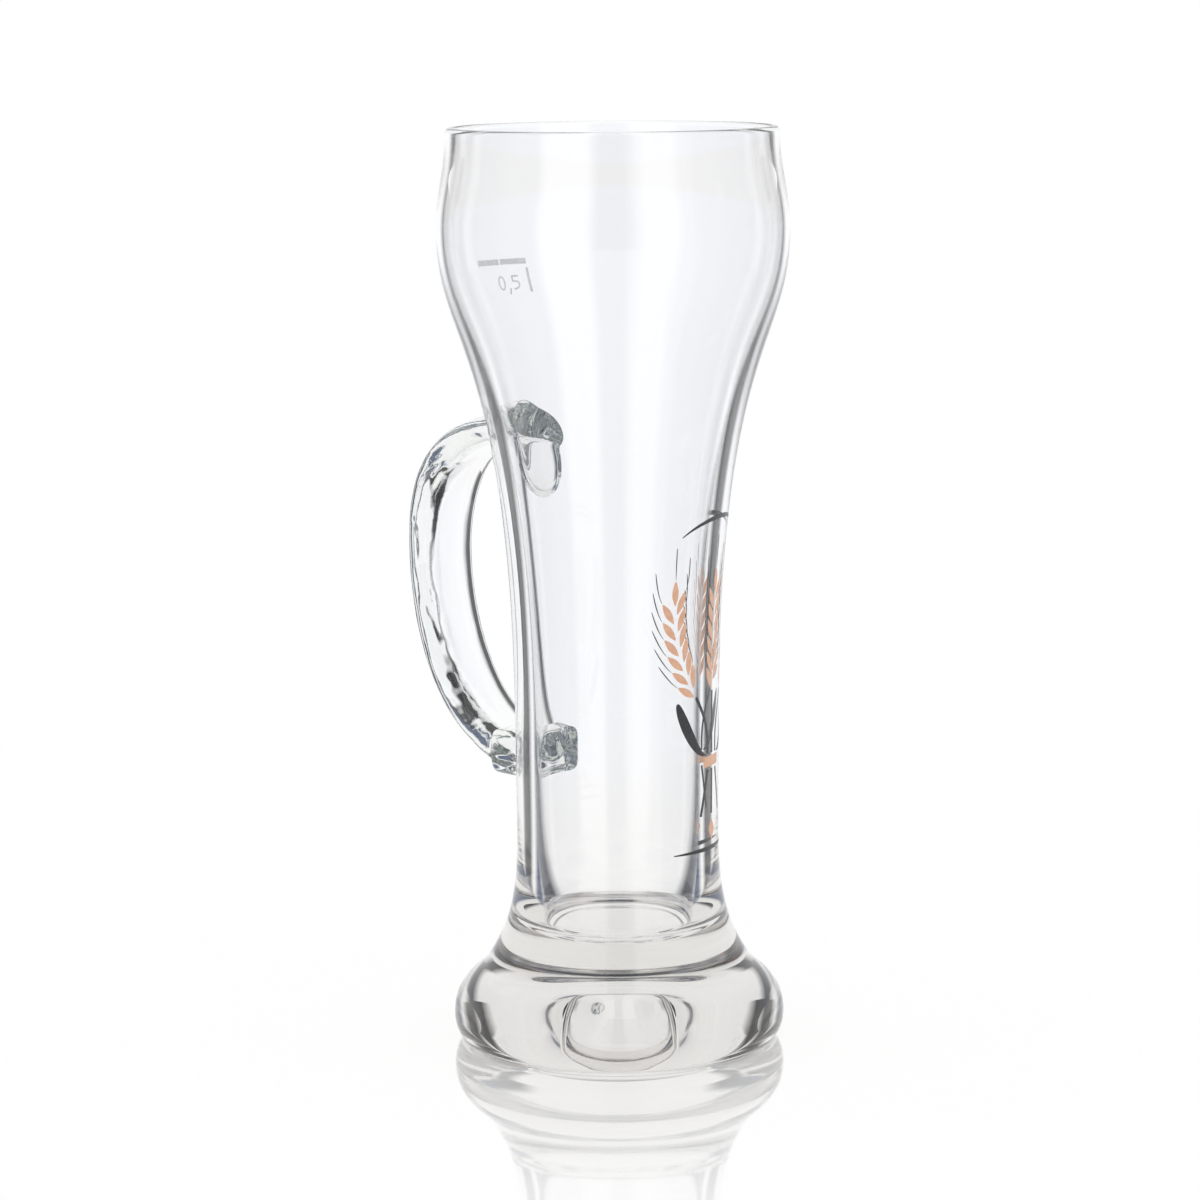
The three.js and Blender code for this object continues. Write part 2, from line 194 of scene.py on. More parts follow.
# Blown and drawn glass is never quite even: its surface swells by a few thousandths of a millimetre, in
# waves that are longer one way than the other
waves = bpy.data.node_groups.new("glass_waves", "ShaderNodeTree")
for name, kind, way in [
    ("Waves Per Metre", "NodeSocketFloat", "INPUT"),
    ("Stretch", "NodeSocketVector", "INPUT"),
    ("Height", "NodeSocketFloat", "OUTPUT"),
]:
    waves.interface.new_socket(name=name, socket_type=kind, in_out=way)
nodes = waves.nodes
links = waves.links
asked = nodes.new("NodeGroupInput")
given = nodes.new("NodeGroupOutput")
place = nodes.new("ShaderNodeTexCoord")
stretched = nodes.new("ShaderNodeVectorMath")
stretched.operation = "MULTIPLY"
swell = nodes.new("ShaderNodeTexNoise")
swell.inputs["Detail"].default_value = 1
swell.inputs["Roughness"].default_value = 0.35
links.new(place.outputs["Object"], stretched.inputs[0])
links.new(asked.outputs["Stretch"], stretched.inputs[1])
links.new(stretched.outputs["Vector"], swell.inputs["Vector"])
links.new(asked.outputs["Waves Per Metre"], swell.inputs["Scale"])
links.new(swell.outputs["Fac"], given.inputs["Height"])


def clear_glass(name, tint_colour, waves_per_metre, stretch, swell_height):
    """Clear glass with its own tint and waves. The studio's light falls through it on what is behind."""
    glass = bpy.data.materials.new(name)
    glass.use_nodes = True
    nodes = glass.node_tree.nodes
    links = glass.node_tree.links
    shader = nodes["Principled BSDF"]
    shader.inputs["Base Color"].default_value = (1, 1, 1, 1)
    shader.inputs["Roughness"].default_value = 0.0
    shader.inputs["IOR"].default_value = glass_index
    shader.inputs["Transmission Weight"].default_value = 1.0
    tint = nodes.new("ShaderNodeVolumeAbsorption")
    tint.inputs["Color"].default_value = (*tint_colour, 1)
    tint.inputs["Density"].default_value = tint_density
    links.new(tint.outputs["Volume"], nodes["Material Output"].inputs["Volume"])
    uneven = nodes.new("ShaderNodeGroup")
    uneven.node_tree = waves
    uneven.inputs["Waves Per Metre"].default_value = waves_per_metre
    uneven.inputs["Stretch"].default_value = stretch
    relief = nodes.new("ShaderNodeBump")
    relief.inputs["Strength"].default_value = 1.0
    relief.inputs["Distance"].default_value = swell_height
    links.new(uneven.outputs["Height"], relief.inputs["Height"])
    links.new(relief.outputs["Normal"], shader.inputs["Normal"])
    passing = nodes.new("ShaderNodeLightPath")
    either = nodes.new("ShaderNodeMath")
    either.operation = "MAXIMUM"
    unseen = nodes.new("ShaderNodeBsdfTransparent")
    window = nodes.new("ShaderNodeMixShader")
    links.new(passing.outputs["Is Shadow Ray"], either.inputs[0])
    links.new(passing.outputs["Is Diffuse Ray"], either.inputs[1])
    links.new(either.outputs["Value"], window.inputs["Fac"])
    links.new(shader.outputs["BSDF"], window.inputs[1])
    links.new(unseen.outputs["BSDF"], window.inputs[2])
    links.new(window.outputs["Shader"], nodes["Material Output"].inputs["Surface"])
    return glass


blown_glass = clear_glass(
    "clear_glass", tint_colour=(0.70, 0.68, 0.64),
    waves_per_metre=45, stretch=(1, 1, 0.35), swell_height=0.012 * mm,
)
vessel.data.materials.append(blown_glass)
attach(vessel, "root")
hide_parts("glass_body")

# Handle
# A strap of clear glass, drawn out of the furnace, bent while soft and pressed on the wall at an upper
# land with a tongue and at a lower land with a square end.
strap_inset = 0.6 * mm
strap_reach = axis_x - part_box("handle")[0].x - strap_inset
strap_width = 22 * mm
strap_thickness = 7.9 * mm
bow_height = 134 * mm
upper_bend = 21 * mm
lower_bend = 31 * mm
upper_root_height = 174 * mm
upper_root_run = 28 * mm
upper_root_drop = 2 * mm
lower_root_height = 79.5 * mm
lower_root_run = 25 * mm
lower_root_dip = 6 * mm
root_sink = 3 * mm
tongue_height = 166.7 * mm
tongue_length = 27 * mm
tongue_width = 23 * mm
tongue_thickness = 6.5 * mm
tongue_taper = 0.6
land_length = 18 * mm
land_width = 22.5 * mm
land_depth = 13 * mm
land_bevel = 2.5 * mm
land_bevel_steps = 6
root_swell = 1.2
claw_drop = 5 * mm
root_shift = 3 * mm
shift_start = 50 * mm
shift_end = 36 * mm
streak_depth = 0.35 * mm
streak_pitch = 4 * mm
streak_stretch = 6
streak_start = 55 * mm
strap_squareness = 0.72
melt_grain = 0.5 * mm
melt_rounds = 14
soften_rounds = 6
handle_crease = math.radians(50)
weld = 0.4 * mm
weld_low = 50 * mm
weld_high = 215 * mm
weld_steps = 24


def wall_radius(height):
    """How far the vessel's outside is from its axis at a height."""
    outside = Vector((axis_x + 2 * bulge_radius, 0, height))
    spot = vessel.ray_cast(outside, Vector((-1, 0, 0)))[1]
    return spot.x - axis_x


upper_root = wall_radius(upper_root_height) - root_sink
lower_root = wall_radius(lower_root_height) - root_sink
bow = strap_reach - strap_thickness / 2
strap_knots = [
    knot(-upper_root, upper_root_height, after=(-root_sink - upper_root_run, -upper_root_drop)),
    knot(-bow, bow_height, before=(0, upper_bend), after=(0, -lower_bend)),
    knot(-lower_root, lower_root_height, before=(-root_sink - lower_root_run, -lower_root_dip)),
]
bpy.ops.object.select_all(action="DESELECT")
bpy.ops.curve.primitive_bezier_circle_add()
section = bpy.context.object
section.name = "strap_section"
half_sizes = (strap_thickness / 2, strap_width / 2)
for point in section.data.splines[0].bezier_points:
    ahead = (point.handle_right - point.co).normalized()
    point.handle_left_type = "FREE"
    point.handle_right_type = "FREE"
    place = [point.co[i] * half_sizes[i] for i in (0, 1)]
    reach = [ahead[i] * half_sizes[i] * strap_squareness for i in (0, 1)]
    point.co = (place[0], place[1], 0)
    point.handle_left = (place[0] - reach[0], place[1] - reach[1], 0)
    point.handle_right = (place[0] + reach[0], place[1] + reach[1], 0)
section.data.resolution_u = 10

handle = draw_line("handle_strap", strap_knots, fineness=24)
for point in handle.data.splines[0].bezier_points:
    upright = (point.co, point.handle_left, point.handle_right)
    point.co, point.handle_left, point.handle_right = [Vector((spot.x, spot.z, 0)) for spot in upright]
handle.data.splines[0].bezier_points[0].radius = root_swell
handle.data.dimensions = "2D"
handle.data.fill_mode = "NONE"
handle.data.bevel_mode = "OBJECT"
handle.data.bevel_object = section
handle.data.use_fill_caps = True
handle.rotation_euler = (math.pi / 2, 0, 0)
bpy.ops.object.convert(target="MESH")
bpy.ops.object.transform_apply(rotation=True)
handle = bpy.context.object
bpy.data.objects.remove(section)

wall_lean = math.atan2(
    wall_radius(tongue_height + tongue_length / 2) - wall_radius(tongue_height - tongue_length / 2),
    tongue_length,
)
bpy.ops.mesh.primitive_uv_sphere_add(
    segments=48, ring_count=32, radius=1,
    location=(axis_x - wall_radius(tongue_height), 0, tongue_height), rotation=(0, -wall_lean, 0),
    scale=(tongue_thickness, tongue_width / 2, tongue_length / 2),
)
tongue = bpy.context.object
for vertex in tongue.data.vertices:
    vertex.co.y *= 1 + tongue_taper * vertex.co.z
bpy.ops.mesh.primitive_cube_add(
    size=1, location=(axis_x - lower_root - land_length / 4, 0, lower_root_height),
    scale=(land_length, land_width, land_depth),
)
land = bpy.context.object
bpy.ops.object.transform_apply(location=False, rotation=False, scale=True)
reshape(land, "BEVEL", width=land_bevel, segments=land_bevel_steps)
pick(handle, tongue, land)
bpy.ops.object.join()
bpy.ops.object.transform_apply(location=True, rotation=True, scale=True)
handle.name = "strap_handle"

# The roots were set on a little to one side of the bow, and the upper one was pressed down on the other
for vertex in handle.data.vertices:
    reach = math.hypot(vertex.co.x - axis_x, vertex.co.y)
    share = min(max((shift_start - reach) / (shift_start - shift_end), 0), 1)
    across = max(vertex.co.y / strap_width + 0.5, 0)
    if vertex.co.z > bow_height:
        vertex.co.z -= claw_drop * across ** 2 * share
    vertex.co.y -= root_shift * share
reshape(handle, "REMESH", mode="VOXEL", voxel_size=melt_grain)
reshape(handle, "SMOOTH", factor=0.5, iterations=melt_rounds)

# Drawing leaves long shallow streaks in the strap
streaks = bpy.data.textures.new("streaks", "CLOUDS")
streaks.noise_scale = 1
streaks.noise_depth = 1
streaked = handle.vertex_groups.new(name="streaked")
for vertex in handle.data.vertices:
    reach = math.hypot(vertex.co.x - axis_x, vertex.co.y)
    share = (reach - streak_start) / (strap_reach - streak_start)
    streaked.add([vertex.index], min(max(share, 0), 1), "REPLACE")
bpy.ops.object.empty_add(location=(axis_x - strap_reach, 0, bow_height))
grain = bpy.context.object
grain.scale = (streak_pitch, streak_pitch, streak_pitch * streak_stretch)
pick(handle)
reshape(
    handle, "DISPLACE", texture=streaks, texture_coords="OBJECT", texture_coords_object=grain,
    vertex_group=streaked.name, strength=streak_depth, mid_level=0.5,
)
bpy.data.objects.remove(grain)
reshape(handle, "SMOOTH", factor=0.5, iterations=soften_rounds)

# The roots are cut to the wall's own curve, a little inside it, so that the two glasses melt together
cutter_knots = [knot(0, weld_low)]
for step in range(weld_steps + 1):
    height = weld_low + (weld_high - weld_low) * step / weld_steps
    cutter_knots.append(knot(wall_radius(height) - weld, height))
cutter_knots.append(knot(0, weld_high))
cutter = turn_on_lathe(draw_line("wall_cutter", cutter_knots, fineness=1), steps=128)
pick(handle)
reshape(handle, "BOOLEAN", operation="DIFFERENCE", object=cutter)
bpy.data.objects.remove(cutter)
bpy.ops.object.shade_smooth_by_angle(angle=handle_crease)
drawn_glass = clear_glass(
    "handle_glass", tint_colour=(0.73, 0.78, 0.72),
    waves_per_metre=60, stretch=(1, 1, 0.3), swell_height=0.015 * mm,
)
handle.data.materials.clear()
handle.data.materials.append(drawn_glass)
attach(handle, "root")
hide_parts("handle")

# Fill mark
# Pale grey enamel, screened on the shoulder over the handle and fired there. Each sign is an island of
# its own, and the figures are read through the glass.
film = 0.03 * mm
fill_height = 219.3 * mm
fill_line_length = 20.3 * mm
fill_line_width = 1.8 * mm
fill_line_split = 0.6 * mm
digit_height = 4.6 * mm
digit_width = 2.9 * mm
digit_stroke = 0.55 * mm
digit_drop = 5.2 * mm
zero_place = -0.6 * mm
comma_place = 2.6 * mm
comma_length = 1.8 * mm
five_place = 5.1 * mm
five_bowl_height = 2.7 * mm
five_bowl_reach = 1.9 * mm
litre_place = 10.1 * mm
litre_height = 7.6 * mm
litre_drop = 3 * mm
litre_stroke = 0.9 * mm


def straight(start, end):
    """A path of the drawing from one spot to another, by the share gone along it."""
    return lambda share: Vector(start).lerp(Vector(end), share)


def curved(start, first, second, end):
    """A Bezier path of the drawing, by the share gone along it."""
    def spot(share):
        rest = 1 - share
        weights = (rest ** 3, 3 * rest * rest * share, 3 * rest * share * share, share ** 3)
        parts = [Vector(at) * weight for at, weight in zip((start, first, second, end), weights)]
        return sum(parts, Vector((0, 0)))
    return spot


def even(width):
    """Half the width of a stroke that is as wide all along."""
    return lambda share: width / 2


def pointed(width, tip):
    """Half the width of a stroke that swells from one pointed end and back to the other."""
    return lambda share: tip / 2 + (width - tip) / 2 * math.sin(math.pi * share)


def stroke(path, half_width, steps, cells, bearing, sense):
    """A strip of film along a path of the drawing, wrapped on the outside of the glass."""
    bpy.ops.object.select_all(action="DESELECT")
    bpy.ops.mesh.primitive_grid_add(x_subdivisions=cells, y_subdivisions=steps)
    strip = bpy.context.object
    nudge = 0.001
    for vertex in strip.data.vertices:
        row, column = divmod(vertex.index, cells + 1)
        share = row / steps
        ahead = (path(share + nudge) - path(share - nudge)).normalized()
        side = half_width(min(share, 1)) * (2 * column / cells - 1)
        across = path(share).x - ahead.y * side
        height = path(share).y + ahead.x * side
        radius = wall_radius(height)
        turn = bearing + sense * across / radius
        vertex.co = (axis_x + radius * math.cos(turn), radius * math.sin(turn), height)
    return strip


def fire_on(name, strips, enamel, node=None):
    """Joins strips to one island of print, gives it its thickness and fires it on the glass."""
    pick(*strips)
    island = strips[0]
    if len(strips) > 1:
        bpy.ops.object.join()
    island.name = name
    mend_mesh(merge=True)
    reshape(island, "SOLIDIFY", thickness=2 * film, offset=0)
    mend_mesh(merge=False)
    bpy.ops.object.shade_smooth_by_angle(angle=crease_angle)
    island.data.materials.append(enamel)
    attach(island, "root")
    if node:
        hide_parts(node)


# Fired print is a little uneven: its colour thins over a millimetre or so, and its gloss and its surface
# change over a fifth of one
clouds_per_metre = 700
specks_per_metre = 5200
thinning_span = (0.35, 0.75)
gloss_span = (0.3, 0.7)
speck_height = 0.02 * mm
speck_strength = 0.3
fired = bpy.data.node_groups.new("fired_film", "ShaderNodeTree")
for name, kind, way in [
    ("Colour", "NodeSocketColor", "INPUT"),
    ("Thinned Colour", "NodeSocketColor", "INPUT"),
    ("Least Roughness", "NodeSocketFloat", "INPUT"),
    ("Most Roughness", "NodeSocketFloat", "INPUT"),
    ("Colour", "NodeSocketColor", "OUTPUT"),
    ("Roughness", "NodeSocketFloat", "OUTPUT"),
    ("Height", "NodeSocketFloat", "OUTPUT"),
]:
    fired.interface.new_socket(name=name, socket_type=kind, in_out=way)
nodes = fired.nodes
links = fired.links
asked = nodes.new("NodeGroupInput")
given = nodes.new("NodeGroupOutput")
place = nodes.new("ShaderNodeTexCoord")
clouds = nodes.new("ShaderNodeTexNoise")
clouds.inputs["Scale"].default_value = clouds_per_metre
clouds.inputs["Detail"].default_value = 3
specks = nodes.new("ShaderNodeTexNoise")
specks.inputs["Scale"].default_value = specks_per_metre
specks.inputs["Detail"].default_value = 1
for noise in (clouds, specks):
    links.new(place.outputs["Object"], noise.inputs["Vector"])
thinning = nodes.new("ShaderNodeMapRange")
thinning.inputs["From Min"].default_value = thinning_span[0]
thinning.inputs["From Max"].default_value = thinning_span[1]
links.new(clouds.outputs["Fac"], thinning.inputs["Value"])
colours = nodes.new("ShaderNodeMix")
colours.data_type = "RGBA"
links.new(thinning.outputs["Result"], colours.inputs["Factor"])
links.new(asked.outputs["Colour"], colours.inputs["A"])
links.new(asked.outputs["Thinned Colour"], colours.inputs["B"])
links.new(colours.outputs["Result"], given.inputs["Colour"])
gloss = nodes.new("ShaderNodeMapRange")
gloss.inputs["From Min"].default_value = gloss_span[0]
gloss.inputs["From Max"].default_value = gloss_span[1]
links.new(specks.outputs["Fac"], gloss.inputs["Value"])
links.new(asked.outputs["Least Roughness"], gloss.inputs["To Min"])
links.new(asked.outputs["Most Roughness"], gloss.inputs["To Max"])
links.new(gloss.outputs["Result"], given.inputs["Roughness"])
links.new(specks.outputs["Fac"], given.inputs["Height"])


def fired_print(name, colour, thinned, least_roughness, most_roughness, metallic):
    """A material of fired print, with the group's unevenness in its colour, gloss and relief."""
    enamel = bpy.data.materials.new(name)
    enamel.use_nodes = True
    nodes = enamel.node_tree.nodes
    links = enamel.node_tree.links
    shader = nodes["Principled BSDF"]
    shader.inputs["Metallic"].default_value = metallic
    uneven = nodes.new("ShaderNodeGroup")
    uneven.node_tree = fired
    uneven.inputs["Colour"].default_value = (*colour, 1)
    uneven.inputs["Thinned Colour"].default_value = (*thinned, 1)
    uneven.inputs["Least Roughness"].default_value = least_roughness
    uneven.inputs["Most Roughness"].default_value = most_roughness
    relief = nodes.new("ShaderNodeBump")
    relief.inputs["Strength"].default_value = speck_strength
    relief.inputs["Distance"].default_value = speck_height
    links.new(uneven.outputs["Colour"], shader.inputs["Base Color"])
    links.new(uneven.outputs["Roughness"], shader.inputs["Roughness"])
    links.new(uneven.outputs["Height"], relief.inputs["Height"])
    links.new(relief.outputs["Normal"], shader.inputs["Normal"])
    return enamel


grey_enamel = fired_print(
    "grey_enamel", colour=(0.56, 0.58, 0.59), thinned=(0.68, 0.70, 0.71),
    least_roughness=0.4, most_roughness=0.6, metallic=0,
)
handle_side = {"bearing": math.pi, "sense": -1}
fill_middle = fill_height - fill_line_width / 2
digit_foot = fill_height - digit_drop - digit_height
digit_middle = digit_foot + digit_height / 2
digit_reach = (digit_width - digit_stroke) / 2
digit_rise = (digit_height - digit_stroke) / 2
for side, where in ((-1, "left"), (1, "right")):
    inner_end = (side * fill_line_split / 2, fill_middle)
    outer_end = (side * fill_line_length / 2, fill_middle)
    line = straight(inner_end, outer_end)
    strip = stroke(line, even(fill_line_width), steps=20, cells=3, **handle_side)
    fire_on(f"print_fill_line_{where}", [strip], grey_enamel, node=f"fill_line_{where}")


def zero_ring(share):
    """The middle line of the figure 0."""
    turn = 2 * math.pi * share
    across = digit_reach * math.cos(turn)
    rise = digit_rise * math.sin(turn)
    return Vector((zero_place + across, digit_middle + rise))


strip = stroke(zero_ring, even(digit_stroke), steps=40, cells=1, **handle_side)
fire_on("print_fill_digit_0", [strip], grey_enamel, node="fill_digit_0")
comma_top = digit_foot + digit_stroke
comma = straight((comma_place, comma_top), (comma_place - digit_stroke, comma_top - comma_length))
strip = stroke(comma, even(digit_stroke), steps=4, cells=1, **handle_side)
fire_on("print_fill_comma", [strip], grey_enamel, node="fill_comma")
five_left = five_place - digit_reach
five_right = five_place + digit_reach
five_top = digit_foot + digit_height - digit_stroke / 2
five_waist = digit_foot + five_bowl_height
five_foot = digit_foot + digit_stroke / 2
five_bowl = five_place + five_bowl_reach
five = [
    straight((five_right, five_top), (five_left + digit_stroke / 2, five_top)),
    straight((five_left, five_top + digit_stroke / 2), (five_left, five_waist - digit_stroke / 2)),
    curved(
        (five_left + digit_stroke / 2, five_waist), (five_bowl, five_waist + digit_stroke),
        (five_bowl, five_foot), (five_left, five_foot),
    ),
]
strips = [stroke(path, even(digit_stroke), steps=14, cells=1, **handle_side) for path in five]
fire_on("print_fill_digit_5", strips, grey_enamel, node="fill_digit_5")
litre_top = fill_height - litre_drop
litre = straight((litre_place, litre_top - litre_height), (litre_place, litre_top))
strip = stroke(litre, even(litre_stroke), steps=8, cells=1, **handle_side)
fire_on("print_fill_letter_l", [strip], grey_enamel, node="fill_letter_l")

# Barley ornament
# A sheaf of three barley ears under an arch, screened in black enamel and copper lustre on the side away
# from the handle and fired with the fill mark.
sheaf_side = {"bearing": math.radians(22), "sense": 1}
tie_height = 82 * mm
tie_length = 9.5 * mm
tie_width = 3 * mm
tie_clearance = 0.7 * mm
stalk_stroke = 1.1 * mm
stalk_pitch = 2.7 * mm
straw_length = 13 * mm
straw_spread = 3.6 * mm
stalk_rise = 17 * mm
stalk_spread = 6 * mm
ear_clearance = 0.8 * mm
ear_length = 34 * mm
ear_lean = 8.5 * mm
ear_rows = 6
grain_length = 6.8 * mm
grain_width = 2.1 * mm
grain_turn = math.radians(27)
grain_stand_off = 0.3
look_ahead = 0.01
awn_length = 9 * mm
awn_stroke = 0.3 * mm
awn_gap = 0.4 * mm
leaf_length = 16 * mm
leaf_spread = 12 * mm
leaf_width = 3.4 * mm
leaf_clearance = 1.2 * mm
arch_height = 153 * mm
arch_rise = 6 * mm
rule_length = 34 * mm
rule_width = 1.3 * mm
lozenge_height = 62.3 * mm
lozenge_length = 6 * mm
lozenge_width = 4.2 * mm
lozenge_clearance = 1.5 * mm
point_width = 0.3 * mm

black_enamel = fired_print(
    "black_enamel", colour=(0.011, 0.011, 0.013), thinned=(0.03, 0.03, 0.034),
    least_roughness=0.22, most_roughness=0.42, metallic=0,
)
copper_lustre = fired_print(
    "copper_lustre", colour=(0.66, 0.36, 0.23), thinned=(0.74, 0.47, 0.32),
    least_roughness=0.3, most_roughness=0.5, metallic=0.35,
)


def turned(heading, angle):
    """A heading of the drawing, turned anticlockwise."""
    return Vector((
        heading.x * math.cos(angle) - heading.y * math.sin(angle),
        heading.x * math.sin(angle) + heading.y * math.cos(angle),
    ))


tie = straight((-tie_length / 2, tie_height), (tie_length / 2, tie_height))
strip = stroke(tie, even(tie_width), steps=12, cells=4, **sheaf_side)
fire_on("print_sheaf_tie", [strip], copper_lustre, node="sheaf_tie")
stalk_foot = tie_height + tie_width / 2 + tie_clearance
straw_top = tie_height - tie_width / 2 - tie_clearance
lozenge_top = lozenge_height + lozenge_length / 2
lozenge_foot = lozenge_height - lozenge_length / 2
for side, where in ((-1, "left"), (0, "middle"), (1, "right")):
    at = side * stalk_pitch
    straw_foot = straw_top - straw_length if side else lozenge_top + lozenge_clearance
    straw = straight((at, straw_top), (at + side * straw_spread, straw_foot))
    strip = stroke(straw, even(stalk_stroke), steps=10, cells=2, **sheaf_side)
    fire_on(f"print_straw_{where}", [strip], black_enamel, node=f"straw_{where}")
    rise = stalk_rise if side else stalk_rise + ear_clearance
    stalk_top = Vector((at + side * stalk_spread, stalk_foot + rise))
    stalk = curved((at, stalk_foot), (at, stalk_foot + rise / 3), (at, stalk_foot + rise / 2), stalk_top)
    strip = stroke(stalk, even(stalk_stroke), steps=14, cells=2, **sheaf_side)
    fire_on(f"print_stalk_{where}", [strip], black_enamel, node=f"stalk_{where}")

    heading = (stalk(1) - stalk(1 - look_ahead)).normalized()
    ear_foot = stalk_top + heading * ear_clearance
    ear_bend = ear_foot + heading * ear_length / 2
    ear_tip = ear_foot + Vector((side * ear_lean, ear_length))
    ear = curved(ear_foot, ear_foot.lerp(ear_bend, 2 / 3), ear_tip.lerp(ear_bend, 2 / 3), ear_tip)
    grains = []
    awns = []
    for row in range(2 * ear_rows + 1):
        share = row / (2 * ear_rows) * (1 - grain_length / ear_length)
        ahead = (ear(share + look_ahead) - ear(share)).normalized()
        last = row == 2 * ear_rows
        hand = 0 if last else 1 - 2 * (row % 2)
        lean = turned(ahead, hand * grain_turn)
        foot = ear(share) + turned(ahead, math.pi / 2) * hand * grain_width * grain_stand_off
        tip = foot + lean * grain_length
        grains.append(stroke(
            straight(foot, tip), pointed(grain_width, point_width), steps=10, cells=4, **sheaf_side,
        ))
        awn_foot = tip + lean * awn_gap
        awn_tip = awn_foot + turned(ahead, hand * grain_turn / 3) * awn_length
        awn = curved(awn_foot, awn_foot + lean * awn_length / 3, awn_tip, awn_tip)
        awns.append(stroke(awn, pointed(awn_stroke, awn_stroke / 3), steps=10, cells=1, **sheaf_side))
    fire_on(f"print_ear_{where}", grains, copper_lustre, node=f"ear_{where}")
    fire_on(f"print_awns_{where}", awns, black_enamel)
    if side:
        leaf_foot = Vector((at + side * leaf_clearance, stalk_foot))
        leaf_tip = leaf_foot + Vector((side * leaf_spread, leaf_length))
        leaf = curved(leaf_foot, leaf_foot + Vector((side * leaf_spread / 2, 0)), leaf_tip, leaf_tip)
        strip = stroke(leaf, pointed(leaf_width, point_width), steps=20, cells=4, **sheaf_side)
        fire_on(f"print_leaf_{where}", [strip], black_enamel, node=f"leaf_{where}")

half_rule = rule_length / 2
arch_foot = arch_height - arch_rise
arch = curved(
    (-half_rule, arch_foot), (-half_rule / 2, arch_height),
    (half_rule / 2, arch_height), (half_rule, arch_foot),
)
strip = stroke(arch, pointed(rule_width, point_width), steps=40, cells=2, **sheaf_side)
fire_on("print_arch_rule", [strip], black_enamel, node="arch_rule")
rule_height = lozenge_foot - lozenge_clearance - rule_width / 2
rule = straight((-half_rule, rule_height), (half_rule, rule_height))
strip = stroke(rule, pointed(rule_width, point_width), steps=40, cells=2, **sheaf_side)
fire_on("print_foot_rule", [strip], black_enamel, node="foot_rule")


def kite(share):
    """Half the lozenge's width along its height."""
    return point_width / 2 + (lozenge_width - point_width) / 2 * (1 - abs(1 - 2 * share))


strip = stroke(straight((0, lozenge_foot), (0, lozenge_top)), kite, steps=12, cells=4, **sheaf_side)
fire_on("print_lozenge", [strip], copper_lustre, node="lozenge")

# Studio
# A white floor that glows like a backdrop farther out, under an even white sky, with dark cloths all round
# that show only in the glass. The cloths turn with the camera, as round a turntable.
camera_data = bpy.data.cameras.new("camera")
camera = bpy.data.objects.new("camera", camera_data)
scene.collection.objects.link(camera)
camera_azimuth = math.radians(45)
camera_distance = 1093 * mm
camera_height = 297 * mm
camera_pitch = math.radians(8.894)
camera_roll = math.radians(0.46)
camera_sensor = 36
camera_lens = 117.6
picture_width = 1200
picture_shift = -11.1
camera.location = (
    axis_x + camera_distance * math.sin(camera_azimuth),
    -camera_distance * math.cos(camera_azimuth),
    camera_height,
)
camera.rotation_euler = (math.pi / 2 - camera_pitch, camera_roll, camera_azimuth)
camera_data.sensor_width = camera_sensor
camera_data.lens = camera_lens
camera_data.shift_x = picture_shift / picture_width
scene.camera = camera

world = bpy.data.worlds.new("white_sky")
scene.world = world
world.use_nodes = True
world.node_tree.nodes["Background"].inputs["Color"].default_value = (1, 1, 1, 1)

floor_size = 40
floor_drop = 0.05 * mm
polish_start = 42 * mm
polish_end = 240 * mm
polish_most = 0.55
polish_roughness = 0.03
glow_end = 500 * mm
backdrop_colour = (1.01, 1.02, 1.045)


def floor_paper():
    """White paper: polished round the mug, matt farther out, and glowing like a backdrop beyond that."""
    paper = bpy.data.materials.new("white_floor")
    paper.use_nodes = True
    nodes = paper.node_tree.nodes
    links = paper.node_tree.links
    nodes.remove(nodes["Principled BSDF"])
    place = nodes.new("ShaderNodeTexCoord")
    apart = nodes.new("ShaderNodeVectorMath")
    apart.operation = "LENGTH"
    links.new(place.outputs["Object"], apart.inputs[0])

    def fade(near, far, at_near, at_far):
        """A value that runs from one level to another between two distances from the mug's axis."""
        level = nodes.new("ShaderNodeMapRange")
        level.interpolation_type = "SMOOTHSTEP"
        level.inputs["From Min"].default_value = near
        level.inputs["From Max"].default_value = far
        level.inputs["To Min"].default_value = at_near
        level.inputs["To Max"].default_value = at_far
        links.new(apart.outputs["Value"], level.inputs["Value"])
        return level.outputs["Result"]

    def blend(share, first, second):
        """A surface that turns from a first into a second one by a share."""
        mixed = nodes.new("ShaderNodeMixShader")
        links.new(share, mixed.inputs["Fac"])
        links.new(first, mixed.inputs[1])
        links.new(second, mixed.inputs[2])
        return mixed.outputs["Shader"]

    matt = nodes.new("ShaderNodeBsdfDiffuse")
    matt.inputs["Color"].default_value = (1, 1, 1, 1)
    shine = nodes.new("ShaderNodeBsdfGlossy")
    shine.inputs["Color"].default_value = (1, 1, 1, 1)
    shine.inputs["Roughness"].default_value = polish_roughness
    seen = nodes.new("ShaderNodeLightPath")
    lit = nodes.new("ShaderNodeMix")
    lit.data_type = "RGBA"
    lit.inputs["A"].default_value = (*backdrop_colour, 1)
    lit.inputs["B"].default_value = (1, 1, 1, 1)
    links.new(seen.outputs["Is Camera Ray"], lit.inputs["Factor"])
    glow = nodes.new("ShaderNodeEmission")
    links.new(lit.outputs["Result"], glow.inputs["Color"])
    polish = fade(polish_start, polish_end, polish_most, 0)
    sweep = fade(polish_end, glow_end, 0, 1)
    near_mug = blend(polish, matt.outputs["BSDF"], shine.outputs["BSDF"])
    whole = blend(sweep, near_mug, glow.outputs["Emission"])
    links.new(whole, nodes["Material Output"].inputs["Surface"])
    return paper


bpy.ops.mesh.primitive_plane_add(size=floor_size, location=(axis_x, 0, -floor_drop))
floor = bpy.context.object
floor.name = "floor"
floor.data.materials.append(floor_paper())

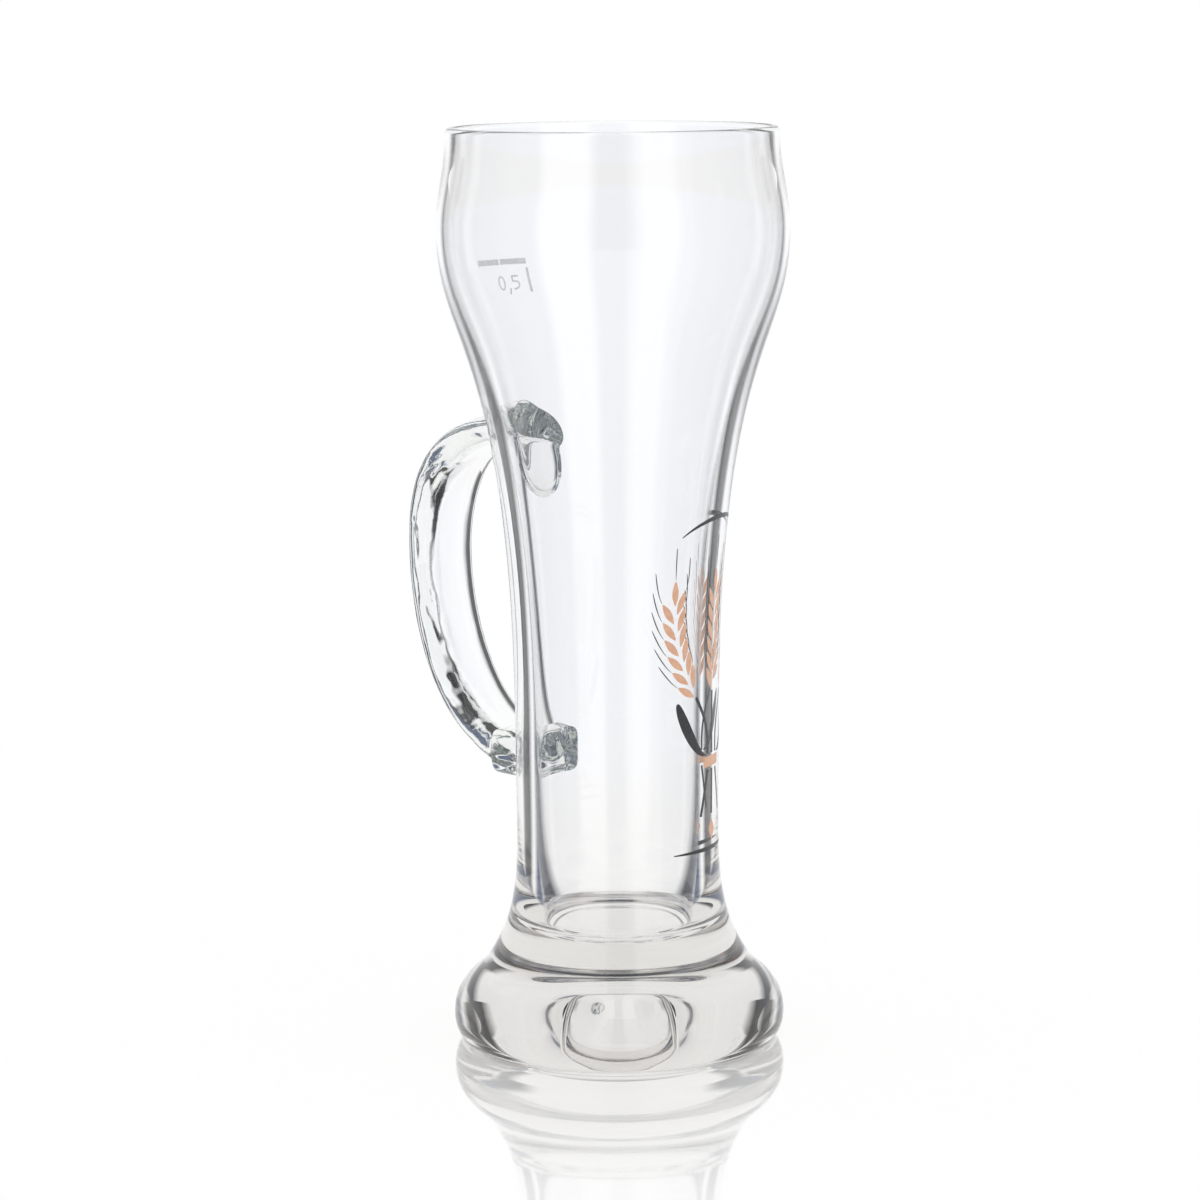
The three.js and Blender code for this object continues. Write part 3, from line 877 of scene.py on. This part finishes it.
bpy.ops.object.empty_add(location=(axis_x, 0, 0))
rig = bpy.context.object
rig.name = "turntable_studio"
follow = rig.constraints.new("COPY_ROTATION")
follow.target = camera
follow.use_x = False
follow.use_y = False

cloth_fade = math.radians(8)
cloth_roughness = 0.9
cloth_lift = 0.3 * mm
near_start = 60 * mm
near_wall = 1700 * mm
near_wall_top = 3000 * mm
far_start = 52 * mm
far_wall = 14000 * mm
far_wall_top = 2000 * mm
high_cloth_top = 8000 * mm
black = (0.012, 0.012, 0.014)
dusk = (0.04, 0.055, 0.09)
slate = (0.06, 0.09, 0.17)


def cloth_of(name, colour, turn):
    """Matt cloth of one colour, which thins out to nothing at the two ends of its turn round the mug."""
    weave = bpy.data.materials.new(name)
    weave.use_nodes = True
    nodes = weave.node_tree.nodes
    links = weave.node_tree.links
    matt = nodes["Principled BSDF"]
    matt.inputs["Base Color"].default_value = (*colour, 1)
    matt.inputs["Roughness"].default_value = cloth_roughness
    place = nodes.new("ShaderNodeTexCoord")
    split = nodes.new("ShaderNodeSeparateXYZ")
    links.new(place.outputs["Object"], split.inputs["Vector"])
    bearing = nodes.new("ShaderNodeMath")
    bearing.operation = "ARCTAN2"
    links.new(split.outputs["Y"], bearing.inputs[0])
    links.new(split.outputs["X"], bearing.inputs[1])
    middle = nodes.new("ShaderNodeMath")
    middle.operation = "SUBTRACT"
    middle.inputs[1].default_value = turn / 2
    links.new(bearing.outputs["Value"], middle.inputs[0])
    away = nodes.new("ShaderNodeMath")
    away.operation = "ABSOLUTE"
    links.new(middle.outputs["Value"], away.inputs[0])
    fade = nodes.new("ShaderNodeMapRange")
    fade.inputs["From Min"].default_value = turn / 2 - cloth_fade
    fade.inputs["From Max"].default_value = turn / 2
    fade.inputs["To Min"].default_value = 1
    fade.inputs["To Max"].default_value = 0
    links.new(away.outputs["Value"], fade.inputs["Value"])
    links.new(fade.outputs["Result"], matt.inputs["Alpha"])
    return weave


# A cloth lies on the floor and goes up a wall, or hangs on the wall alone, between two bearings. These are
# degrees, anticlockwise from the camera's right hand, so the camera stands at -90. The curtain behind the
# camera is mirrored in the glass too
before = [(near_start, cloth_lift), (near_wall, cloth_lift), (near_wall, near_wall_top)]
carpet = before[:2]
curtain = before[1:]
behind = [(far_start, cloth_lift), (far_wall, cloth_lift), (far_wall, far_wall_top)]
above = [(far_wall, far_wall_top), (far_wall, high_cloth_top)]
cloths = [
    ("cloth_front_carpet", dusk, -106, -69, carpet),
    ("cloth_front_curtain", dusk, -106, -69, curtain),
    ("cloth_left", slate, 146, 224, before),
    ("cloth_right", slate, -37, 34, before),
    ("cloth_back_left", black, 113, 143, behind),
    ("cloth_back_right", black, 37, 67, behind),
    ("cloth_above_left", black, 123, 147, above),
    ("cloth_above_right", black, 33, 57, above),
]
for name, colour, first, last, corners in cloths:
    line = draw_line(name, [(corner, corner, corner) for corner in corners], fineness=1)
    turn = math.radians(last - first)
    cloth = turn_on_lathe(line, steps=24, axis=0, turn=turn)
    cloth.rotation_euler = (0, 0, math.radians(first))
    cloth.parent = rig
    cloth.data.materials.append(cloth_of(name, colour, turn))
    cloth.visible_camera = False
    cloth.visible_diffuse = False
    cloth.visible_glossy = corners == curtain
    cloth.visible_shadow = False

scene.view_settings.view_transform = "Standard"
scene.cycles.max_bounces = 32
scene.cycles.transmission_bounces = 32
scene.cycles.glossy_bounces = 16
scene.cycles.use_denoising = True
